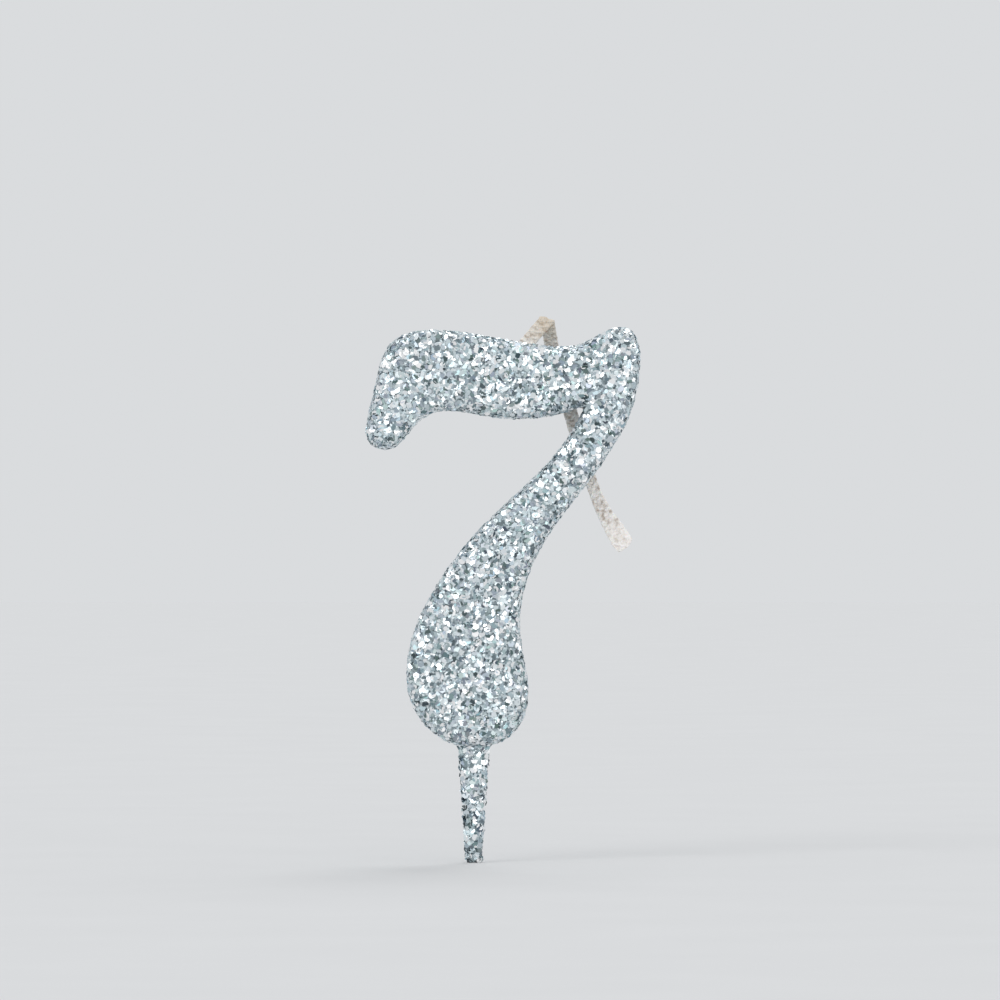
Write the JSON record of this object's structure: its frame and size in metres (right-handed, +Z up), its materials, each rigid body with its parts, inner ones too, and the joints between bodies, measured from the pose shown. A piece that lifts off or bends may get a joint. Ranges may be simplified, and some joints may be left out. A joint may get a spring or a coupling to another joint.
{
  "type": "number birthday candle",
  "caption": "Birthday candle shaped as the digit 7: cast wax under silver glitter lacquer, on a plastic pick for the cake, with a flat braided wick folded down behind it",
  "frame": {"origin": "on the pick's axis, level with the top of the cake and halfway through the digit's thickness", "axes": "+Z up the digit, the glittered front faces -Y, +X to the right as the digit is read"},
  "size_m": [0.0387, 0.0082, 0.0772],
  "materials": {
    "wax": "cast paraffin wax",
    "glitter_lacquer": "silver glitter flakes in clear lacquer",
    "pick_plastic": "moulded polypropylene",
    "wick_cotton": "waxed cotton flat braid"
  },
  "bodies": {
    "candle": {"wax_body": "wax", "digit_coat": "glitter_lacquer", "pick": "pick_plastic", "pick_coat": "glitter_lacquer", "wick_root": "wick_cotton"},
    "wick_lower": {"wick_stub": "wick_cotton"},
    "wick_upper": {"wick_tail": "wick_cotton"}
  },
  "joints": [
    {"name": "wick_root_bend", "type": "hinge", "parent": "candle", "child": "wick_lower", "pos_m": [0.00855, 0.0012, 0.058], "axis": [0, -1, 0], "range_deg": [0, 41]},
    {"name": "wick_fold", "type": "hinge", "parent": "wick_lower", "child": "wick_upper", "pos_m": [0.0103, 0.0012, 0.06], "axis": [0.9659, 0, -0.2588], "range_deg": [0, 180]}
  ]
}
